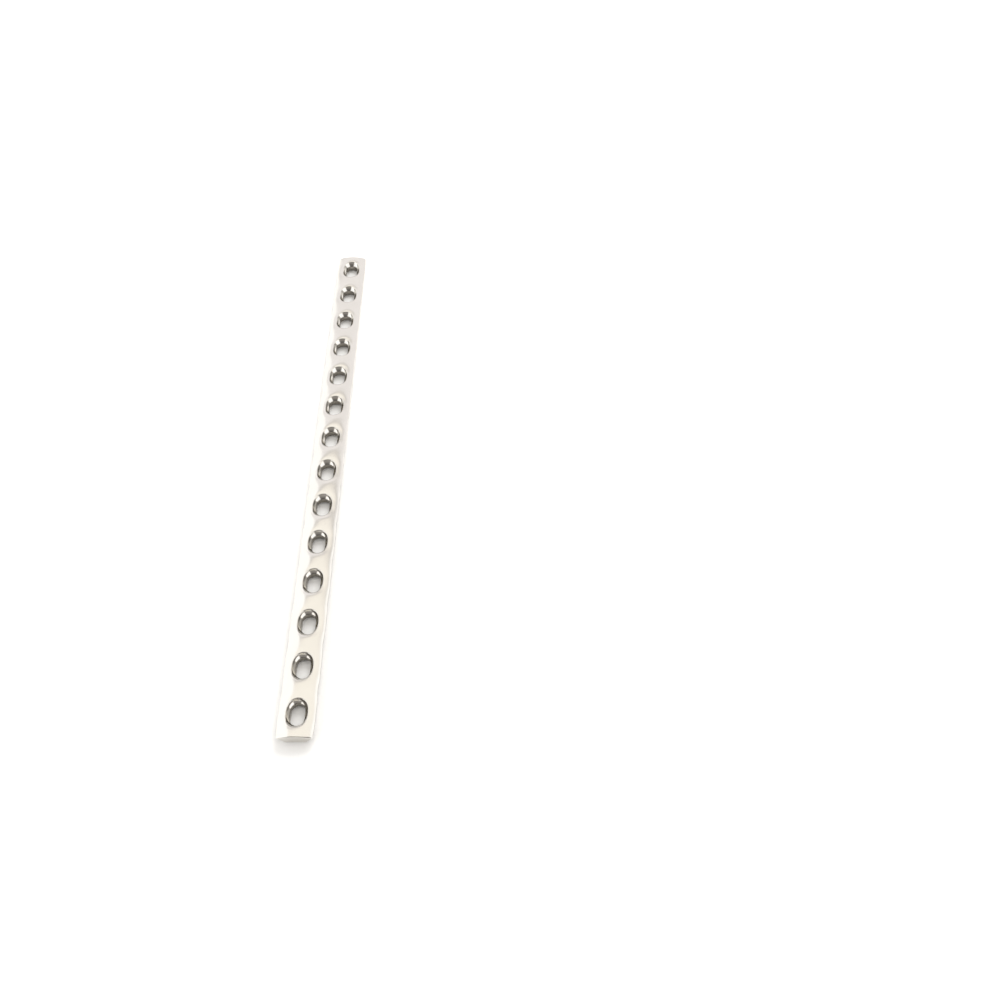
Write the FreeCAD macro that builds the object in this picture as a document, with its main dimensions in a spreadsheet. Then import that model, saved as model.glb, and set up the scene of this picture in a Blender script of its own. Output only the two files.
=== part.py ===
import FreeCAD, Part
import math
import os
import Sketcher

# Limited contact compression plate for a long bone, in millimetres.
# The plate lies along Y with its bone side on z = 0, and its width runs along X.

os.makedirs("parts", exist_ok=True)
doc = FreeCAD.newDocument("bone_plate")

# Driving sizes
sizes = doc.addObject("Spreadsheet::Sheet", "Sizes")
DRIVING = [
    ("HoleCount", "14", "screw holes in one row"),
    ("Pitch", "18", "hole centre to hole centre"),
    ("EndMargin", "9.2", "last hole centre to the end of the plate"),
    ("PlateWidth", "13.7", "across the flanks, before their edges are polished"),
    ("Thickness", "4.6", "bone side to the crown of the top"),
    ("FlankHeight", "3.2", "height of the widest edge"),
    ("UndersideWidth", "10", "flat of the bone side"),
    ("CornerRadius", "0.8", "end corners in plan"),
    ("EdgeRadius", "0.25", "polished outer edges"),
    ("SeatRadius", "4.3", "round section of the screw seat, across the plate"),
    ("SeatHeight", "4.65", "centre of that section above the bone side"),
    ("GlideTravel", "1.5", "middle of the hole to the end of the glide"),
    ("RimBevel", "0.22", "width of the bevel around the seat"),
    ("SlotRadius", "2.65", "half the width of the slot under the seat"),
    ("UndercutDepth", "0.5", "height of the slanted relief under each slot end"),
    ("UndercutReach", "0.7", "how far that relief runs out on the bone side"),
    ("ArchWidth", "6.8", "arched recess between two holes, on the bone side"),
    ("ArchDepth", "1.1", "highest point of that recess"),
    ("WaistDepth", "0.3", "side scallop between two holes, at the widest edge"),
    ("WaistRadius", "25", "radius of the side scallop"),
    ("WaistTilt", "36", "lean of the side scallop from upright, in degrees"),
    ("CutterRise", "4", "how far the seat cutters stand above the top"),
]
DERIVED = [
    ("PlateLength", "=Pitch * (HoleCount - 1) + 2 * EndMargin"),
    ("FirstHole", "=EndMargin - PlateLength / 2"),
    ("CrownRise", "=Thickness - FlankHeight"),
    ("CrownRadius", "=((PlateWidth / 2)^2 + CrownRise^2) / (2 * CrownRise)"),
    ("SideRim", "=Thickness - SeatRadius^2 / (2 * CrownRadius)"),
    ("RimRadius", "=sqrt(2) * (SeatRadius + RimBevel)"),
    ("RimHeight", "=SideRim + SeatRadius + RimBevel"),
    ("SeatReach", "=GlideTravel + sqrt(SeatRadius^2 - (SeatHeight - Thickness)^2)"),
    ("RimTravel", "=SeatReach + RimBevel - sqrt(RimRadius^2 - (RimHeight - Thickness)^2)"),
    ("ArchRadius", "=((ArchWidth / 2)^2 + ArchDepth^2) / (2 * ArchDepth)"),
]
row = 0
for name, text, *use in DRIVING + DERIVED:
    row += 1
    sizes.set("A%d" % row, name)
    sizes.set("B%d" % row, text)
    sizes.set("C%d" % row, "".join(use))
    sizes.setAlias("B%d" % row, name)
doc.recompute()

body = doc.addObject("PartDesign::Body", "bone_plate")
body.Label = "bone_plate"

# Ends of a sketch element, then the sketch's own origin and axes
START, END, CENTRE = range(1, 4)
ORIGIN = (-1, 1)
ACROSS = -1
UPRIGHT = -2
AXIS = FreeCAD.Vector(0, 0, 1)


def origin_item(role):
    for item in body.Origin.OriginFeatures:
        if item.Role == role:
            return item
    raise ValueError(role)


def new_sketch(name, plane):
    sketch = body.newObject("Sketcher::SketchObject", name)
    sketch.AttachmentSupport = [(origin_item(plane), "")]
    sketch.MapMode = "FlatFace"
    return sketch


def rule(sketch, kind, *where):
    return sketch.addConstraint(Sketcher.Constraint(kind, *where))


def value(formula):
    return float(sizes.evalExpression(formula))


def size(sketch, kind, formula, *where):
    index = rule(sketch, kind, *where, value(formula))
    sketch.setExpression("Constraints[%d]" % index, formula)


def at(point):
    return FreeCAD.Vector(point[0], point[1], 0)


def line(sketch, start, end, construction=False):
    return sketch.addGeometry(Part.LineSegment(at(start), at(end)), construction)


def circle(sketch, centre, radius):
    return sketch.addGeometry(Part.Circle(at(centre), AXIS, radius), False)


def arc(sketch, centre, radius, first, last):
    whole = Part.Circle(at(centre), AXIS, radius)
    ends = (math.radians(first), math.radians(last))
    return sketch.addGeometry(Part.ArcOfCircle(whole, *ends), False)


def chain(sketch, *items):
    for item, following in zip(items, items[1:] + items[:1]):
        rule(sketch, "Coincident", item, END, following, START)


def cut_both_ways(name, sketch, length):
    pocket = body.newObject("PartDesign::Pocket", name)
    pocket.Profile = sketch
    pocket.SideType = "Symmetric"
    pocket.setExpression("Length", length)
    return pocket


def repeat(name, features, count):
    pattern = body.newObject("PartDesign::LinearPattern", name)
    pattern.Originals = features
    pattern.Direction = (origin_item("Y_Axis"), [""])
    pattern.Mode = "Spacing"
    pattern.setExpression("Offset", "Sizes.Pitch")
    pattern.setExpression("Occurrences", count)
    body.Tip = pattern
    return pattern


def round_over(name, base, edges, radius):
    names = []
    for number, edge in enumerate(base.Shape.Edges, 1):
        if any(edge.isSame(wanted) for wanted in edges):
            names.append("Edge%d" % number)
    fillet = body.newObject("PartDesign::Fillet", name)
    fillet.Base = (base, names)
    fillet.setExpression("Radius", radius)
    doc.recompute()
    return fillet


def top_face(shape):
    high = [face for face in shape.Faces if face.CenterOfMass.z > sizes.FlankHeight]
    return max(high, key=lambda face: face.Area)


# Bar with a crowned top, sharp flanks and a narrow bone side
section = new_sketch("cross_section", "XZ_Plane")
half_base = sizes.UndersideWidth / 2
half_width = sizes.PlateWidth / 2
lean = math.degrees(math.acos(half_width / sizes.CrownRadius))
base = line(section, (-half_base, 0), (half_base, 0))
right = line(section, (half_base, 0), (half_width, sizes.FlankHeight))
crown = arc(section, (0, sizes.Thickness - sizes.CrownRadius), sizes.CrownRadius, lean, 180 - lean)
left = line(section, (-half_width, sizes.FlankHeight), (-half_base, 0))
chain(section, base, right, crown, left)
rule(section, "PointOnObject", base, START, ACROSS)
rule(section, "Symmetric", base, START, base, END, *ORIGIN)
rule(section, "PointOnObject", crown, CENTRE, UPRIGHT)
rule(section, "Horizontal", crown, START, crown, END)
size(section, "DistanceX", "Sizes.UndersideWidth", base, START, base, END)
size(section, "DistanceX", "Sizes.PlateWidth", crown, END, crown, START)
size(section, "DistanceY", "Sizes.FlankHeight", *ORIGIN, crown, START)
size(section, "Radius", "Sizes.CrownRadius", crown)

bar = body.newObject("PartDesign::Pad", "bar")
bar.Profile = section
bar.SideType = "Symmetric"
bar.setExpression("Length", "Sizes.PlateLength")
doc.recompute()

# End corners, then the polished edge around the top
corners = []
for edge in bar.Shape.Edges:
    low, high = sorted(vertex.Z for vertex in edge.Vertexes)
    if high - low > sizes.FlankHeight / 2:
        corners.append(edge)
ends = round_over("end_corners", bar, corners, "Sizes.CornerRadius")
edges = round_over("polished_edge", ends, top_face(ends.Shape).OuterWire.Edges, "Sizes.EdgeRadius")


# Slot outline with round ends, at the first hole
def slot_outline(name, travel):
    sketch = new_sketch(name, "XY_Plane")
    radius = sizes.SlotRadius
    reach = value(travel)
    near = sizes.FirstHole - reach
    far = sizes.FirstHole + reach
    near_arc = arc(sketch, (0, near), radius, 180, 360)
    right = line(sketch, (radius, near), (radius, far))
    far_arc = arc(sketch, (0, far), radius, 0, 180)
    left = line(sketch, (-radius, far), (-radius, near))
    rule(sketch, "Tangent", near_arc, END, right, START)
    rule(sketch, "Tangent", right, END, far_arc, START)
    rule(sketch, "Tangent", far_arc, END, left, START)
    rule(sketch, "Tangent", left, END, near_arc, START)
    rule(sketch, "PointOnObject", near_arc, CENTRE, UPRIGHT)
    rule(sketch, "PointOnObject", far_arc, CENTRE, UPRIGHT)
    rule(sketch, "Vertical", right)
    size(sketch, "Radius", "Sizes.SlotRadius", near_arc)
    size(sketch, "DistanceY", "Sizes.FirstHole - (%s)" % travel, *ORIGIN, near_arc, CENTRE)
    size(sketch, "DistanceY", "Sizes.FirstHole + (%s)" % travel, *ORIGIN, far_arc, CENTRE)
    return sketch


# Round bowl turned about an upright axis, at one end of the first hole
def bowl(name, height, radius, place, side):
    sketch = new_sketch(name + "_outline", "YZ_Plane")
    reach = value(radius)
    centre = value(height)
    middle = value(place)
    brim = sizes.Thickness + sizes.CutterRise
    edge = middle + side * reach
    if side > 0:
        curve = arc(sketch, (middle, centre), reach, 270, 360)
        foot, head = START, END
    else:
        curve = arc(sketch, (middle, centre), reach, 180, 270)
        foot, head = END, START
    wall = line(sketch, (edge, centre), (edge, brim))
    lid = line(sketch, (edge, brim), (middle, brim))
    stem = line(sketch, (middle, brim), (middle, centre - reach))
    axis = line(sketch, (middle, centre), (middle, brim), True)
    rule(sketch, "Tangent", curve, head, wall, START)
    rule(sketch, "Coincident", wall, END, lid, START)
    rule(sketch, "Coincident", lid, END, stem, START)
    rule(sketch, "Coincident", stem, END, curve, foot)
    rule(sketch, "Coincident", axis, START, curve, CENTRE)
    rule(sketch, "Coincident", axis, END, lid, END)
    rule(sketch, "Vertical", axis)
    rule(sketch, "Vertical", stem)
    rule(sketch, "Vertical", wall)
    rule(sketch, "Horizontal", lid)
    size(sketch, "Radius", radius, curve)
    size(sketch, "DistanceX", place, *ORIGIN, axis, START)
    size(sketch, "DistanceY", height, *ORIGIN, axis, START)
    size(sketch, "DistanceY", "Sizes.Thickness + Sizes.CutterRise", *ORIGIN, axis, END)
    groove = body.newObject("PartDesign::Groove", name)
    groove.Profile = sketch
    groove.ReferenceAxis = (sketch, ["Axis0"])
    groove.Angle = 360
    return groove


# Two bowls and the round trough between them, centred on the first hole
def glide(name, height, radius, travel):
    near = bowl("near_" + name, height, radius, "Sizes.FirstHole - " + travel, 1)
    far = bowl("far_" + name, height, radius, "Sizes.FirstHole + " + travel, -1)
    sketch = new_sketch(name + "_section", "XZ_Plane")
    sketch.setExpression("AttachmentOffset.Base.z", "-Sizes.FirstHole")
    section = circle(sketch, (0, value(height)), value(radius))
    rule(sketch, "PointOnObject", section, CENTRE, UPRIGHT)
    size(sketch, "Radius", radius, section)
    size(sketch, "DistanceY", height, *ORIGIN, section, CENTRE)
    return [near, far, cut_both_ways(name, sketch, "2 * " + travel)]


# Compression hole: a slot, the seat on which a round screw head glides, its bevelled rim,
# and a slanted relief at both slot ends on the bone side
slot = cut_both_ways("slot", slot_outline("slot_outline", "Sizes.GlideTravel"), "4 * Sizes.Thickness")
seat = glide("seat", "Sizes.SeatHeight", "Sizes.SeatRadius", "Sizes.GlideTravel")
rim = glide("rim", "Sizes.RimHeight", "Sizes.RimRadius", "Sizes.RimTravel")
relief_foot = slot_outline("relief_foot", "Sizes.GlideTravel + Sizes.UndercutReach")
relief_head = slot_outline("relief_head", "Sizes.GlideTravel")
relief_head.setExpression("AttachmentOffset.Base.z", "Sizes.UndercutDepth")
relief = body.newObject("PartDesign::SubtractiveLoft", "screw_relief")
relief.Profile = relief_foot
relief.Sections = [relief_head]
relief.Ruled = True
holes = repeat("holes", [slot] + seat + rim + [relief], "Sizes.HoleCount")
doc.recompute()

# Arched recess across the bone side between two holes
neck = sizes.FirstHole + sizes.Pitch / 2
arch_outline = new_sketch("arch_outline", "YZ_Plane")
arch_circle = circle(arch_outline, (neck, sizes.ArchDepth - sizes.ArchRadius), sizes.ArchRadius)
size(arch_outline, "Radius", "Sizes.ArchRadius", arch_circle)
size(arch_outline, "DistanceX", "Sizes.FirstHole + Sizes.Pitch / 2", *ORIGIN, arch_circle, CENTRE)
size(arch_outline, "DistanceY", "Sizes.ArchDepth - Sizes.ArchRadius", *ORIGIN, arch_circle, CENTRE)
arch = cut_both_ways("arch", arch_outline, "2 * Sizes.PlateWidth")

# Leaning scallop in each side between two holes
scallops = []
for name, side in (("left_waist", -1), ("right_waist", 1)):
    sketch = new_sketch(name + "_outline", "XY_Plane")
    turn = FreeCAD.Rotation(FreeCAD.Vector(0, side, 0), sizes.WaistTilt)
    sketch.AttachmentOffset = FreeCAD.Placement(FreeCAD.Vector(0, 0, 0), turn)
    edge_place = "%d * (Sizes.PlateWidth / 2 - Sizes.WaistDepth)" % side
    sketch.setExpression("AttachmentOffset.Base.x", edge_place)
    sketch.setExpression("AttachmentOffset.Base.z", "Sizes.FlankHeight")
    sketch.setExpression("AttachmentOffset.Rotation.Angle", "Sizes.WaistTilt")
    scallop = circle(sketch, (side * sizes.WaistRadius, neck), sizes.WaistRadius)
    size(sketch, "Radius", "Sizes.WaistRadius", scallop)
    size(sketch, "DistanceX", "%d * Sizes.WaistRadius" % side, *ORIGIN, scallop, CENTRE)
    size(sketch, "DistanceY", "Sizes.FirstHole + Sizes.Pitch / 2", *ORIGIN, scallop, CENTRE)
    scallops.append(cut_both_ways(name, sketch, "4 * Sizes.Thickness"))
necks = repeat("necks", [arch] + scallops, "Sizes.HoleCount - 1")
doc.recompute()

for item in doc.Objects:
    if "Invalid" in item.State or "Error" in item.State:
        raise RuntimeError("%s does not compute" % item.Name)
    if hasattr(item, "Shape") and item.TypeId.startswith("PartDesign"):
        if item.Shape.isNull() or not item.Shape.isValid():
            raise RuntimeError("%s has no sound shape" % item.Name)
body.Shape.exportStep("parts/bone_plate.step")
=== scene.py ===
import bpy
import math
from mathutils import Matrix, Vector


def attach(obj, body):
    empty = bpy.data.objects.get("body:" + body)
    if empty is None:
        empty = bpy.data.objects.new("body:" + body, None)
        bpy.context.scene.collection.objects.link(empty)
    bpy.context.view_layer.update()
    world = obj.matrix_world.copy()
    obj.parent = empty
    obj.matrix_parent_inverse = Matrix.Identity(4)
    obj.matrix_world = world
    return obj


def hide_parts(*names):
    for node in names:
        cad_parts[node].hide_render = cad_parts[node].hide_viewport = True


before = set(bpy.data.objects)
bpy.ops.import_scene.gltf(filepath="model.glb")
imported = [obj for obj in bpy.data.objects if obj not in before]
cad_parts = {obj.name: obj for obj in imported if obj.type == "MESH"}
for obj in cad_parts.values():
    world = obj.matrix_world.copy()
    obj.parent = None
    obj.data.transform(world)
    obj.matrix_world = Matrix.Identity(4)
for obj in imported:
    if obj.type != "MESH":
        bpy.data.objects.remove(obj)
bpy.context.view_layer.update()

# Sizes of the plate in millimetres
HOLES = 14
PITCH = 18.0
END_MARGIN = 9.2
HALF_WIDTH = 6.85
THICKNESS = 4.6
FLANK_HEIGHT = 3.2
HALF_UNDERSIDE = 5.0
CROWN_RADIUS = 17.459
CORNER_RADIUS = 0.8
RIM_RADIUS = 4.3
SEAT_RADIUS = 4.6
SEAT_HEIGHT = 6.3  # of the middle of the seat's sphere, above the table
SEAT_REACH = 5.816  # along the plate, at that height
RIM_POWER = 2.2
GLIDE_TRAVEL = 1.5
SLOT_RADIUS = 2.65
RELIEF_DEPTH = 0.5
RELIEF_REACH = 0.7
ARCH_HALF_WIDTH = 3.4
ARCH_DEPTH = 1.1
ARCH_RADIUS = 5.805
ARCH_EASE = 0.3
WAIST_DEPTH = 0.3
WAIST_RADIUS = 25.0
WAIST_TILT = math.radians(36)

# Softening that polishing leaves, in millimetres
RIM_ROUND = 0.3
END_RIM_ROUND = 0.55
TOP_EDGE_REACH = 0.36
END_EDGE_REACH = 0.5
LOW_EDGE_REACH = 0.24
BORE_EDGE_REACH = 0.12
WAIST_BLEND = 0.1
ROLL_DEPTH = 0.17
ROLL_LENGTH = 1.0

# How far the surface has the dull look of milled steel and a painted shade that darkens it, from 0 to 1
OUTSIDE_DULLNESS = 0.0
SEAT_DULLNESS_AND_SHADE = 0.1
SLOT_DULLNESS_AND_SHADE = 1.0

# Rows of faces
SIDE_STEPS = 8
BRIDGE_STEPS = 4
NECK_STEPS = 14
CORNER_STEPS = 6
END_STEPS = 14
TOP_STEPS = 8
TOP_EDGE_STEPS = 6
FLANK_STEPS = 5
LOW_EDGE_STEPS = 4
RIM_STEPS = 8
SEAT_STEPS = 8
SLOT_STEPS = 2
BORE_EDGE_STEPS = 3
UNDER_STEPS = (4, 2, 4)

# Repeats that settle the top edge and the rolled rim on the crown
EDGE_REPEATS = 6
RIM_REPEATS = 12

# Small steps that give a face's slope at its edge, in millimetres or as a share of the flank
SLOPE_REACH = 0.05
INWARD_REACH = 0.1
FLANK_SHARE = 0.05

HALF_PITCH = PITCH / 2
ARCH_START = HALF_PITCH - ARCH_HALF_WIDTH
ARCH_SOFT = ARCH_START + ARCH_EASE
CORNER_CLEARANCE = 0.2

MILLIMETRE = 0.001
WELD_DISTANCE = 0.002 * MILLIMETRE


def soft_min(a, b, width):
    """The smaller of two values, with a smooth change from one to the other."""
    mix = max(0.0, min(1.0, 0.5 + 0.5 * (b - a) / width))
    return b + (a - b) * mix - width * mix * (1 - mix)


class Cell:
    """One hole with half of the bridge on each side, or with an end of the plate on the near side."""

    def __init__(self, at_end):
        self.waists = (HALF_PITCH, -HALF_PITCH)
        self.arches = self.waists[:1] if at_end else self.waists
        self.holes = (0.0, PITCH) if at_end else (0.0, PITCH, -PITCH)

    def top(self, x, y):
        height = THICKNESS - CROWN_RADIUS + math.sqrt(CROWN_RADIUS ** 2 - x * x)
        for centre in self.holes:
            along = max(0.0, abs(y - centre) - GLIDE_TRAVEL)
            away = math.hypot(x, along) - RIM_RADIUS
            height -= ROLL_DEPTH * math.exp(-max(away, 0.0) / ROLL_LENGTH)
        return height

    def underside(self, y):
        height = 0.0
        for centre in self.arches:
            reach = abs(y - centre)
            if reach < ARCH_HALF_WIDTH:
                arch = ARCH_DEPTH - ARCH_RADIUS + math.sqrt(ARCH_RADIUS ** 2 - reach * reach)
                ease = min(1.0, (ARCH_HALF_WIDTH - reach) / (ARCH_SOFT - ARCH_START))
                height = max(height, arch * ease)
        return height

    def side(self, y, z):
        flat = HALF_WIDTH - (FLANK_HEIGHT - z) * (HALF_WIDTH - HALF_UNDERSIDE) / FLANK_HEIGHT
        edge = flat
        for centre in self.waists:
            scallop = HALF_WIDTH - WAIST_DEPTH + (z - FLANK_HEIGHT) * math.tan(WAIST_TILT)
            scallop += (y - centre) ** 2 / (2 * WAIST_RADIUS * math.cos(WAIST_TILT))
            edge = soft_min(edge, scallop, WAIST_BLEND)
        return edge


def side_station(cell, sign, y):
    """One place on a long side: its flank from top to foot, the way inward and the edge's reach."""
    low = cell.underside(y)
    edge = HALF_WIDTH
    for _ in range(EDGE_REPEATS):
        edge = cell.side(y, cell.top(edge, y))
    high = cell.top(edge, y)

    def wall(part):
        z = high + (low - high) * part
        return Vector((sign * cell.side(y, z), y, z))

    return wall, Vector((-sign, 0, 0)), TOP_EDGE_REACH


def end_station(cell, top_point, foot_point, inward):
    """The same for one place on a corner or on the end face."""
    head = Vector((top_point[0], top_point[1], cell.top(*top_point)))
    foot = Vector((foot_point[0], foot_point[1], 0))
    reach = TOP_EDGE_REACH + (END_EDGE_REACH - TOP_EDGE_REACH) * inward[1] ** 2
    return lambda part: head.lerp(foot, part), Vector((inward[0], inward[1], 0)), reach


def end_run(cell):
    """Stations from the right side round the end of the plate to the left side."""
    stations = []
    centre = CORNER_RADIUS - END_MARGIN
    wall = side_station(cell, 1, centre)[0]
    straight = [wall(part).x - CORNER_RADIUS for part in (0, 1)]
    for step in range(1, CORNER_STEPS + 1):
        angle = math.radians(90 * step / CORNER_STEPS)
        out = (math.cos(angle), -math.sin(angle))
        points = []
        for half in straight:
            points.append((half + CORNER_RADIUS * out[0], centre + CORNER_RADIUS * out[1]))
        stations.append((points[0], points[1], (-out[0], -out[1])))
    for step in range(1, END_STEPS):
        part = 1 - 2 * step / END_STEPS
        points = [(half * part, -END_MARGIN) for half in straight]
        stations.append((points[0], points[1], (0, 1)))
    mirrored = []
    for top_point, foot_point, inward in reversed(stations[:CORNER_STEPS]):
        turned = [(-point[0], point[1]) for point in (top_point, foot_point, inward)]
        mirrored.append(tuple(turned))
    return [end_station(cell, *station) for station in stations + mirrored]


def soften(before, corner, after, reach, steps):
    """Points on a small round where a polished edge turns from one face to the next."""
    first = corner + (before - corner).normalized() * reach
    last = corner + (after - corner).normalized() * reach
    points = []
    for step in range(steps + 1):
        part = step / steps
        points.append(first.lerp(corner, part).lerp(corner.lerp(last, part), part))
    return points


def spread(first, last, steps):
    """Points between two others, without those two."""
    return [first.lerp(last, step / steps) for step in range(1, steps)]


def flank_rows(cell, station):
    """The top edge, the flank and the lower edge at one place on the outline."""
    wall, inward, reach = station
    head = wall(0)
    foot = wall(1)
    inner = head + inward * INWARD_REACH
    inner.z = cell.top(inner.x, inner.y)
    top_round = soften(inner, head, wall(FLANK_SHARE), reach, TOP_EDGE_STEPS)
    low_round = soften(wall(1 - FLANK_SHARE), foot, foot + inward, LOW_EDGE_REACH, LOW_EDGE_STEPS)
    length = (head - foot).length
    start = reach / length
    end = 1 - LOW_EDGE_REACH / length
    middle = [wall(start + (end - start) * step / FLANK_STEPS) for step in range(1, FLANK_STEPS)]
    return top_round + middle + low_round


def hole_reach(x, y):
    """The direction from the middle of the hole to a place on the outline, and how far the slot
    and the rim of the seat lie that way."""
    length = math.hypot(x, y)
    across, along = x / length, y / length
    rim = abs(across / SEAT_RADIUS) ** RIM_POWER + abs(along / SEAT_REACH) ** RIM_POWER
    rim **= -1 / RIM_POWER
    if abs(along) * SLOT_RADIUS <= GLIDE_TRAVEL * abs(across):
        slot = SLOT_RADIUS / abs(across)
    else:
        ahead = GLIDE_TRAVEL * abs(along)
        slot = ahead + math.sqrt(ahead ** 2 - GLIDE_TRAVEL ** 2 + SLOT_RADIUS ** 2)
    return Vector((across, along, 0)), slot, rim


def bore_rows(cell, x, y):
    """From the rounded rim down the seat and the slot wall to the relief on the bone side."""
    out, slot, rim = hole_reach(x, y)

    def place(away, z, further=0.0):
        share = (away - SLOT_RADIUS) / (SEAT_RADIUS - SLOT_RADIUS)
        spot = out * (slot + (rim - slot) * share + further)
        spot.z = z
        return spot

    def rim_height(away):
        spot = place(away, 0)
        return cell.top(spot.x, spot.y)

    def seat(angle):
        return place(SEAT_RADIUS * math.cos(angle), SEAT_HEIGHT - SEAT_RADIUS * math.sin(angle))

    rounding = RIM_ROUND + (END_RIM_ROUND - RIM_ROUND) * out.y ** 2
    centre_away = SEAT_RADIUS + rounding
    slope = 0.0
    centre_height = THICKNESS
    for _ in range(RIM_REPEATS):
        rise = rim_height(centre_away + SLOPE_REACH) - rim_height(centre_away - SLOPE_REACH)
        slope = rise / (2 * SLOPE_REACH)
        centre_height = rim_height(centre_away) - rounding * math.hypot(1, slope)
        centre_away = math.sqrt((SEAT_RADIUS + rounding) ** 2 - (centre_height - SEAT_HEIGHT) ** 2)
    first = math.atan2(1, -slope)
    last = math.atan2(SEAT_HEIGHT - centre_height, -centre_away)
    rows = []
    for step in range(RIM_STEPS + 1):
        angle = first + (last - first) * step / RIM_STEPS
        away = centre_away + rounding * math.cos(angle)
        rows.append(place(away, centre_height + rounding * math.sin(angle)))

    top_angle = math.asin((SEAT_HEIGHT - rows[-1].z) / SEAT_RADIUS)
    low_angle = math.acos(SLOT_RADIUS / SEAT_RADIUS)
    ledge = BORE_EDGE_REACH / SEAT_RADIUS
    for step in range(1, SEAT_STEPS):
        angle = top_angle + (low_angle - ledge - top_angle) * step / SEAT_STEPS
        rows.append(seat(angle))
    slot_top = SEAT_HEIGHT - SEAT_RADIUS * math.sin(low_angle)
    above = seat(low_angle - ledge)
    corner = place(SLOT_RADIUS, slot_top)
    relief_head = place(SLOT_RADIUS, RELIEF_DEPTH)
    relief_foot = place(SLOT_RADIUS, 0, RELIEF_REACH * out.y ** 2)
    relief_foot.z = cell.underside(relief_foot.y)
    upper = soften(above, corner, relief_head, BORE_EDGE_REACH, BORE_EDGE_STEPS)
    bend = soften(corner, relief_head, relief_foot, BORE_EDGE_REACH, BORE_EDGE_STEPS)
    beyond = relief_foot + out
    foot = soften(relief_head, relief_foot, beyond, BORE_EDGE_REACH, BORE_EDGE_STEPS)
    slot_rows = upper + spread(upper[-1], bend[0], SLOT_STEPS) + bend
    slot_rows += spread(bend[-1], foot[0], SLOT_STEPS) + foot
    # Seat rows take a trace and slot rows the full share of painted shade and milled dullness
    return [(spot, SEAT_DULLNESS_AND_SHADE) for spot in rows] + [(spot, SLOT_DULLNESS_AND_SHADE) for spot in slot_rows]


def top_rows(cell, edge, rim):
    """Across the crowned top, from its edge to the rim of the hole."""
    rows = []
    for step in range(TOP_STEPS):
        part = 0.5 - 0.5 * math.cos(math.pi * step / TOP_STEPS)
        spot = edge.lerp(rim, part)
        if step:
            spot.z = cell.top(spot.x, spot.y)
        rows.append(spot)
    return rows


def under_rows(cell, foot, edge):
    """Across the bone side, with rows that follow the start of the arched recess."""
    marks = [foot]
    for line_y in (ARCH_START, ARCH_SOFT, HALF_PITCH):
        reached = edge
        if abs(edge.y) > line_y:
            span = abs(edge.y) - abs(foot.y)
            part = max(0.0, min(1.0, (line_y - abs(foot.y)) / span))
            reached = foot.lerp(edge, part)
        marks.append(reached)
    marks[-1] = edge
    rows = []
    for first, last, steps in zip(marks, marks[1:], UNDER_STEPS):
        for step in range(1, steps + 1):
            spot = first.lerp(last, step / steps)
            spot.z = cell.underside(spot.y)
            rows.append(spot)
    rows[-1] = edge
    return rows


def build_cell(name, at_end):
    """A cell's skin, as rows of faces round the hole and rows down the flanks."""
    cell = Cell(at_end)
    half = [ARCH_START * step / SIDE_STEPS for step in range(SIDE_STEPS + 1)]
    half += [(ARCH_START + ARCH_SOFT) / 2, ARCH_SOFT]
    bridge = HALF_PITCH - ARCH_SOFT
    half += [ARCH_SOFT + bridge * step / BRIDGE_STEPS for step in range(1, BRIDGE_STEPS + 1)]
    corner = END_MARGIN - CORNER_RADIUS
    near_half = [y for y in half if y < corner - CORNER_CLEARANCE] + [corner] if at_end else half
    ys = [-y for y in reversed(near_half)] + half[1:]

    right = [flank_rows(cell, side_station(cell, 1, y)) for y in ys]
    left = [flank_rows(cell, side_station(cell, -1, y)) for y in reversed(ys)]
    if at_end:
        end = [flank_rows(cell, station) for station in reversed(end_run(cell))]
        flank_strips = [left + end + right]
    else:
        flank_strips = [right, left]

    edges = [(rows[0], rows[-1]) for rows in right]
    edges += neck_edges(cell, right[-1], left[0], HALF_PITCH)
    edges += [(rows[0], rows[-1]) for rows in left]
    if at_end:
        edges += [(rows[0], rows[-1]) for rows in end]
    else:
        edges += neck_edges(cell, left[-1], right[0], -HALF_PITCH)

    def outside(rows):
        return [(spot, OUTSIDE_DULLNESS) for spot in rows]

    columns = []
    for top_edge, low_edge in edges:
        bore = bore_rows(cell, top_edge.x, top_edge.y)
        column = outside(top_rows(cell, top_edge, bore[0][0])) + bore
        column += outside(under_rows(cell, bore[-1][0], low_edge))
        columns.append(column)

    points, shares, faces = [], [], []

    def add_grid(grid, closed, inside_out):
        base = len(points)
        height = len(grid[0])
        for column in grid:
            for spot, share in column:
                points.append(spot * MILLIMETRE)
                shares.append(share)
        count = len(grid)
        for index in range(count if closed else count - 1):
            here = base + index * height
            there = base + (index + 1) % count * height
            for row in range(height - 1):
                face = (here + row, there + row, there + row + 1, here + row + 1)
                faces.append(face[::-1] if inside_out else face)

    add_grid(columns, True, False)
    for strip in flank_strips:
        add_grid([outside(rows) for rows in strip], False, True)

    mesh = bpy.data.meshes.new(name)
    mesh.from_pydata(points, [], faces)
    mesh.materials.append(steel)
    bore = mesh.attributes.new("bore", "FLOAT", "POINT")
    bore.data.foreach_set("value", shares)
    piece = bpy.data.objects.new(name, mesh)
    bpy.context.scene.collection.objects.link(piece)
    return piece


def neck_edges(cell, first, last, y):
    """Places on the bridge between two holes, at the edge of the cell."""
    edges = []
    for step in range(1, NECK_STEPS):
        part = step / NECK_STEPS
        top_edge = first[0].lerp(last[0], part)
        top_edge.z = cell.top(top_edge.x, y)
        edges.append((top_edge, first[-1].lerp(last[-1], part)))
    return edges


def add_node(tree, kind, inputs=None, **settings):
    """Adds one node, sets its properties and fills or links its inputs."""
    node = tree.nodes.new(kind)
    for name, setting in settings.items():
        setattr(node, name, setting)
    for name, source in (inputs or {}).items():
        if isinstance(source, bpy.types.NodeSocket):
            tree.links.new(source, node.inputs[name])
        else:
            node.inputs[name].default_value = source
    return node


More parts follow.
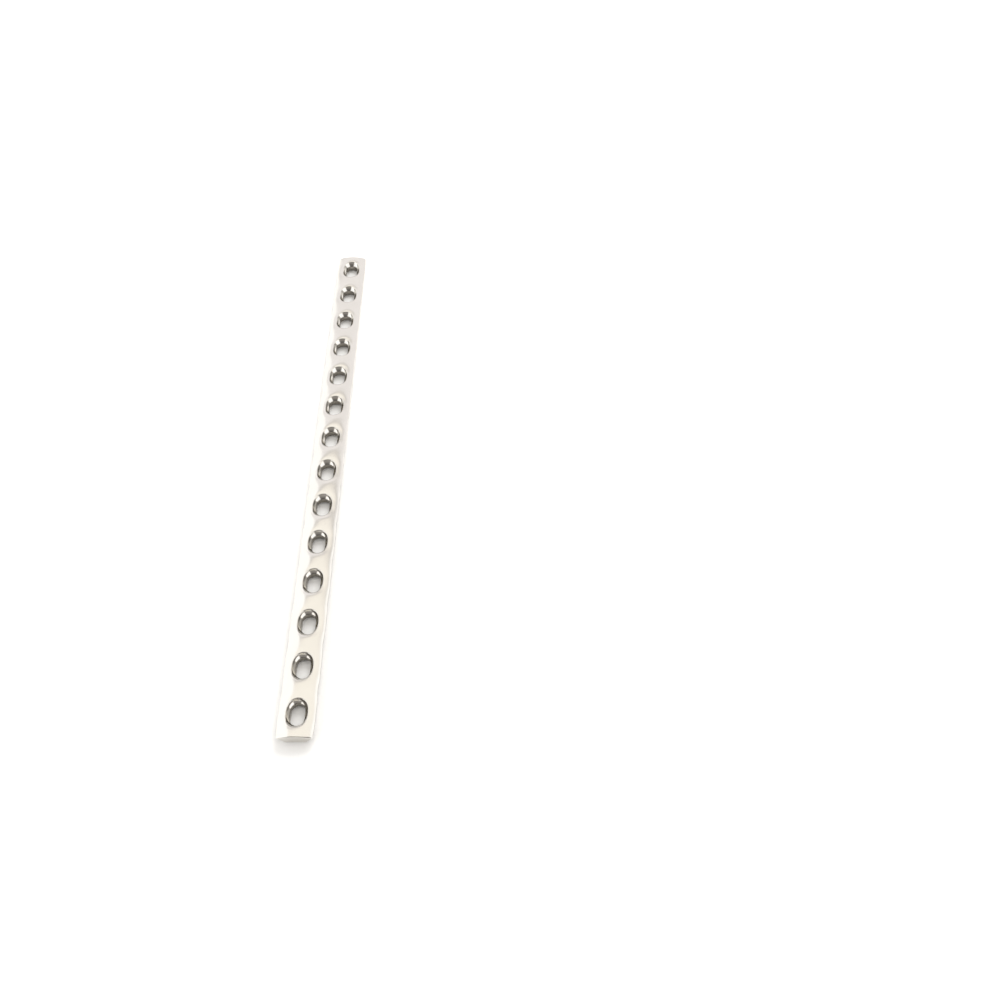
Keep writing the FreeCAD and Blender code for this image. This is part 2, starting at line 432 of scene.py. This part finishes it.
def linear(hex_colour):
    """An sRGB hex colour as linear values."""
    channels = [int(hex_colour[start:start + 2], 16) / 255 for start in (1, 3, 5)]
    return [c / 12.92 if c <= 0.04045 else ((c + 0.055) / 1.055) ** 2.4 for c in channels] + [1.0]


def new_material(name):
    material = bpy.data.materials.new(name)
    material.use_nodes = True
    material.node_tree.nodes.clear()
    return material, material.node_tree


# Electropolished implant steel: bright and smooth, with a faint ripple and fine lines along the
# plate from hand polishing. The slot walls have the marks of the milling cutter and a painted
# shade that darkens them, and the seats have a trace of both
def implant_steel():
    material, tree = new_material("electropolished_implant_steel")
    place = add_node(tree, "ShaderNodeTexCoord").outputs["Object"]
    bore = add_node(tree, "ShaderNodeAttribute", attribute_name="bore").outputs["Fac"]
    ripple = add_node(tree, "ShaderNodeTexNoise", {
        "Vector": place, "Scale": 420.0, "Detail": 2.0, "Roughness": 0.5})
    stretch = add_node(tree, "ShaderNodeMapping", {
        "Vector": place, "Scale": (5200.0, 160.0, 5200.0)})
    lines = add_node(tree, "ShaderNodeTexNoise", {
        "Vector": stretch.outputs["Vector"], "Scale": 1.0, "Detail": 3.0, "Roughness": 0.6})
    cloud = add_node(tree, "ShaderNodeTexNoise", {
        "Vector": place, "Scale": 95.0, "Detail": 3.0, "Roughness": 0.55})
    rings = add_node(tree, "ShaderNodeTexWave", {
        "Vector": place, "Scale": 1300.0, "Distortion": 0.6, "Detail": 1.0},
        wave_type="BANDS", bands_direction="Z")
    polish = add_node(tree, "ShaderNodeMix", {
        "Factor": cloud.outputs["Fac"], "A": linear("#DFDCD6"), "B": linear("#E9E6E1")},
        data_type="RGBA")
    # Painted shade: the bore share darkens the seats a little and the slot walls fully towards #9C978F, on
    # top of their duller milled finish
    tone = add_node(tree, "ShaderNodeMix", {
        "Factor": bore, "A": polish.outputs["Result"], "B": linear("#9C978F")},
        data_type="RGBA")
    finish = add_node(tree, "ShaderNodeMapRange", {
        "Value": lines.outputs["Fac"], "From Min": 0.3, "From Max": 0.75,
        "To Min": 0.10, "To Max": 0.19})
    dull = add_node(tree, "ShaderNodeMath", {
        0: bore, 1: 0.02}, operation="MULTIPLY")
    rough = add_node(tree, "ShaderNodeMath", {
        0: finish.outputs["Result"], 1: dull.outputs[0]}, operation="ADD")
    ring_depth = add_node(tree, "ShaderNodeMath", {
        0: rings.outputs["Fac"], 1: bore}, operation="MULTIPLY")
    relief = add_node(tree, "ShaderNodeMath", {
        0: ripple.outputs["Fac"], 1: lines.outputs["Fac"]}, operation="ADD")
    ripple_bump = add_node(tree, "ShaderNodeBump", {
        "Height": relief.outputs[0], "Strength": 0.10, "Distance": 0.00003})
    bump = add_node(tree, "ShaderNodeBump", {
        "Height": ring_depth.outputs[0], "Strength": 0.25, "Distance": 0.00001,
        "Normal": ripple_bump.outputs["Normal"]})
    shader = add_node(tree, "ShaderNodeBsdfPrincipled", {
        "Base Color": tone.outputs["Result"], "Metallic": 1.0,
        "Roughness": rough.outputs[0], "Normal": bump.outputs["Normal"]})
    add_node(tree, "ShaderNodeOutputMaterial", {"Surface": shader.outputs["BSDF"]})
    return material


# Plate: one cell at each hole, the two at the ends closed by the ends of the plate
def plate_tree(steel):
    tree = bpy.data.node_groups.new("plate_from_cells", "GeometryNodeTree")
    face = tree.interface
    face.new_socket("Middle cell", in_out="INPUT", socket_type="NodeSocketGeometry")
    face.new_socket("End cell", in_out="INPUT", socket_type="NodeSocketObject")
    face.new_socket("Holes", in_out="INPUT", socket_type="NodeSocketInt")
    face.new_socket("Pitch", in_out="INPUT", socket_type="NodeSocketFloat")
    face.new_socket("Plate", in_out="OUTPUT", socket_type="NodeSocketGeometry")
    given = add_node(tree, "NodeGroupInput").outputs
    last = add_node(tree, "ShaderNodeMath", {
        0: given["Holes"], 1: 1.0}, operation="SUBTRACT").outputs[0]
    first_hole = add_node(tree, "ShaderNodeMath", {
        0: last, 1: given["Pitch"]}, operation="MULTIPLY").outputs[0]
    start = add_node(tree, "ShaderNodeMath", {
        0: first_hole, 1: -0.5}, operation="MULTIPLY").outputs[0]
    origin = add_node(tree, "ShaderNodeCombineXYZ", {"Y": start}).outputs[0]
    step = add_node(tree, "ShaderNodeCombineXYZ", {"Y": given["Pitch"]}).outputs[0]
    row = add_node(tree, "GeometryNodeMeshLine", {
        "Count": given["Holes"], "Start Location": origin, "Offset": step})
    end_cell = add_node(tree, "GeometryNodeObjectInfo", {"Object": given["End cell"]})
    middle = add_node(tree, "GeometryNodeGeometryToInstance", {"Geometry": given["Middle cell"]})
    ending = add_node(tree, "GeometryNodeGeometryToInstance", {
        "Geometry": end_cell.outputs["Geometry"]})
    cells = add_node(tree, "GeometryNodeJoinGeometry")
    tree.links.new(ending.outputs[0], cells.inputs[0])
    tree.links.new(middle.outputs[0], cells.inputs[0])
    index = add_node(tree, "GeometryNodeInputIndex").outputs[0]
    is_first = add_node(tree, "FunctionNodeCompare", {
        "A": index, "B": 0}, data_type="INT", operation="EQUAL")
    is_last = add_node(tree, "FunctionNodeCompare", {
        "A": index, "B": last}, data_type="INT", operation="EQUAL")
    is_end = add_node(tree, "FunctionNodeBooleanMath", {
        0: is_first.outputs[0], 1: is_last.outputs[0]}, operation="OR")
    turn = add_node(tree, "ShaderNodeMath", {
        0: is_last.outputs[0], 1: math.pi}, operation="MULTIPLY").outputs[0]
    spin = add_node(tree, "ShaderNodeCombineXYZ", {"Z": turn}).outputs[0]
    placed = add_node(tree, "GeometryNodeInstanceOnPoints", {
        "Points": row.outputs["Mesh"], "Instance": cells.outputs[0], "Pick Instance": True,
        "Instance Index": is_end.outputs[0], "Rotation": spin})
    real = add_node(tree, "GeometryNodeRealizeInstances", {"Geometry": placed.outputs[0]})
    welded = add_node(tree, "GeometryNodeMergeByDistance", {
        "Geometry": real.outputs[0], "Distance": WELD_DISTANCE})
    smooth = add_node(tree, "GeometryNodeSetShadeSmooth", {"Geometry": welded.outputs[0]})
    dressed = add_node(tree, "GeometryNodeSetMaterial", {
        "Geometry": smooth.outputs[0], "Material": steel})
    add_node(tree, "NodeGroupOutput", {"Plate": dressed.outputs[0]})
    return tree


steel = implant_steel()
middle_cell = build_cell("middle_cell", False)
end_cell = build_cell("end_cell", True)
tree = plate_tree(steel)
modifier = middle_cell.modifiers.new("plate", "NODES")
modifier.node_group = tree
chosen = {"End cell": end_cell, "Holes": HOLES, "Pitch": PITCH * MILLIMETRE}
for item in tree.interface.items_tree:
    if item.in_out == "INPUT" and item.name in chosen:
        modifier[item.identifier] = chosen[item.name]
depsgraph = bpy.context.evaluated_depsgraph_get()
plate_mesh = bpy.data.meshes.new_from_object(middle_cell.evaluated_get(depsgraph))
plate_mesh.name = "plate_skin"
plate = bpy.data.objects.new("plate_skin", plate_mesh)
bpy.context.scene.collection.objects.link(plate)
bpy.data.objects.remove(middle_cell)
bpy.data.objects.remove(end_cell)
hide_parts("bone_plate")
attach(plate, "root")


# White laminated table top: matt, lit to paper white, and dimmed only where the plate shades it
def table_top():
    material, tree = new_material("matt_white_laminate")
    place = add_node(tree, "ShaderNodeTexCoord").outputs["Object"]
    grain = add_node(tree, "ShaderNodeTexNoise", {
        "Vector": place, "Scale": 900.0, "Detail": 2.0})
    tint = add_node(tree, "ShaderNodeMix", {
        "Factor": grain.outputs["Fac"], "A": linear("#F7F6F5"), "B": linear("#FCFCFB")},
        data_type="RGBA")
    board = add_node(tree, "ShaderNodeBsdfDiffuse", {"Color": tint.outputs["Result"]})
    add_node(tree, "ShaderNodeOutputMaterial", {"Surface": board.outputs["BSDF"]})
    return material


TABLE_HALF = 2.0
TABLE_GAP = 0.00002

floor_mesh = bpy.data.meshes.new("table")
floor_corners = [(x * TABLE_HALF, y * TABLE_HALF, 0) for x, y in ((-1, -1), (1, -1), (1, 1), (-1, 1))]
floor_mesh.from_pydata(floor_corners, [], [(0, 1, 2, 3)])
floor_mesh.materials.append(table_top())
floor = bpy.data.objects.new("table", floor_mesh)
floor.location.z = -TABLE_GAP
bpy.context.scene.collection.objects.link(floor)


# Light of the room's surfaces, as linear colours
WHITE = (1, 1, 1, 1)
PANEL = (1.21, 1.17, 1.09, 1)
LOW_PANEL = (1.10, 1.05, 0.98, 1)
GAP = (0.74, 0.71, 0.68, 1)
CEILING = (1.06, 1.03, 1.03, 1)
FAR_WALL = (0.55, 0.53, 0.50, 1)
NEAR_WALL = (0.17, 0.16, 0.15, 1)
LOW_NEAR_WALL = (0.32, 0.30, 0.28, 1)
SOFT_BOX = (1.35, 1.35, 1.35, 1)
LOW_SOFT_BOX = (1.6, 1.56, 1.52, 1)
BOX_FOOT = (0.80, 0.76, 0.69, 1)
BOX_WINDOW = (0.48, 0.46, 0.43, 1)
HORIZON_GUARD = 0.05


# Room round the table, drawn by direction: a cream panel overhead, then ahead a grey gap, a pale
# ceiling and a duller far wall, and a dark wall behind the camera. Soft boxes stand at the left
# and the right, the right one with a dimmer window. The camera itself sees white
def room():
    world = bpy.data.worlds.new("light_room")
    world.use_nodes = True
    tree = world.node_tree
    tree.nodes.clear()

    def maths(operation, first, second=0.0):
        return add_node(tree, "ShaderNodeMath", {0: first, 1: second}, operation=operation).outputs[0]

    def ramp(source, start, end):
        return add_node(tree, "ShaderNodeMapRange", {
            "Value": source, "From Min": start, "From Max": end},
            interpolation_type="SMOOTHSTEP").outputs[0]

    def blend(share, first, second):
        return add_node(tree, "ShaderNodeMix", {
            "Factor": share, "A": first, "B": second}, data_type="RGBA").outputs["Result"]

    place = add_node(tree, "ShaderNodeTexCoord").outputs["Generated"]
    axes = add_node(tree, "ShaderNodeSeparateXYZ", {"Vector": place}).outputs
    up = axes["Z"]
    lean = maths("DIVIDE", axes["X"], maths("MAXIMUM", up, HORIZON_GUARD))
    turn = maths("DIVIDE", axes["Y"], maths("MAXIMUM", maths("ABSOLUTE", axes["X"]), HORIZON_GUARD))

    panel = blend(ramp(up, 0.86, 0.80), PANEL, LOW_PANEL)
    gap = blend(ramp(up, 0.80, 0.775), panel, GAP)
    ceiling = blend(ramp(up, 0.765, 0.735), gap, CEILING)
    far = blend(ramp(up, 0.50, 0.34), ceiling, FAR_WALL)
    near_wall = blend(ramp(up, 0.98, 0.90), panel, NEAR_WALL)
    near = blend(ramp(up, 0.60, 0.30), near_wall, LOW_NEAR_WALL)
    wall = blend(ramp(axes["Y"], -0.15, 0.10), near, far)

    sides = maths("ADD", ramp(lean, -0.46, -0.54), ramp(lean, 0.45, 0.50))
    box_share = maths("MULTIPLY", maths("MULTIPLY", ramp(turn, 1.62, 1.42), ramp(turn, -1.6, -1.1)), sides)
    box = blend(ramp(up, 0.45, 0.30), SOFT_BOX, LOW_SOFT_BOX)
    box_foot = blend(ramp(up, 0.16, 0.04), box, BOX_FOOT)
    window = maths("MULTIPLY", ramp(turn, 0.0, 0.15), ramp(turn, 0.95, 0.75))
    dim = maths("MULTIPLY", ramp(lean, 1.2, 1.6), window)
    light = blend(box_share, wall, blend(dim, box_foot, BOX_WINDOW))

    seen = add_node(tree, "ShaderNodeLightPath").outputs["Is Camera Ray"]
    background = add_node(tree, "ShaderNodeBackground", {
        "Color": blend(seen, light, WHITE), "Strength": 1.0})
    add_node(tree, "ShaderNodeOutputWorld", {"Surface": background.outputs[0]})
    bpy.context.scene.world = world


room()

# Large soft light high up behind the far end
key = bpy.data.lights.new("key_panel", "AREA")
key.shape = "RECTANGLE"
key.size = 0.5
key.size_y = 0.4
key.energy = 5.0
key_panel = bpy.data.objects.new("key_panel", key)
key_panel.location = (0.2, 0.70, 0.60)
key_panel.rotation_euler = key_panel.location.to_track_quat("Z", "Y").to_euler()
key_panel.visible_glossy = False
bpy.context.scene.collection.objects.link(key_panel)

# Camera above the near end, to the right of the plate, looking down and a little to the right
CAMERA_DIP = 54.142
CAMERA_TURN = -0.573

lens = bpy.data.cameras.new("camera")
lens.sensor_width = 36
lens.lens = 34
lens.clip_start = 0.01
camera = bpy.data.objects.new("camera", lens)
camera.location = (0.07032, -0.25195, 0.31793)
camera.rotation_euler = (math.radians(90 - CAMERA_DIP), 0, math.radians(CAMERA_TURN))
bpy.context.scene.collection.objects.link(camera)
bpy.context.scene.camera = camera
bpy.context.scene.view_settings.view_transform = "Standard"
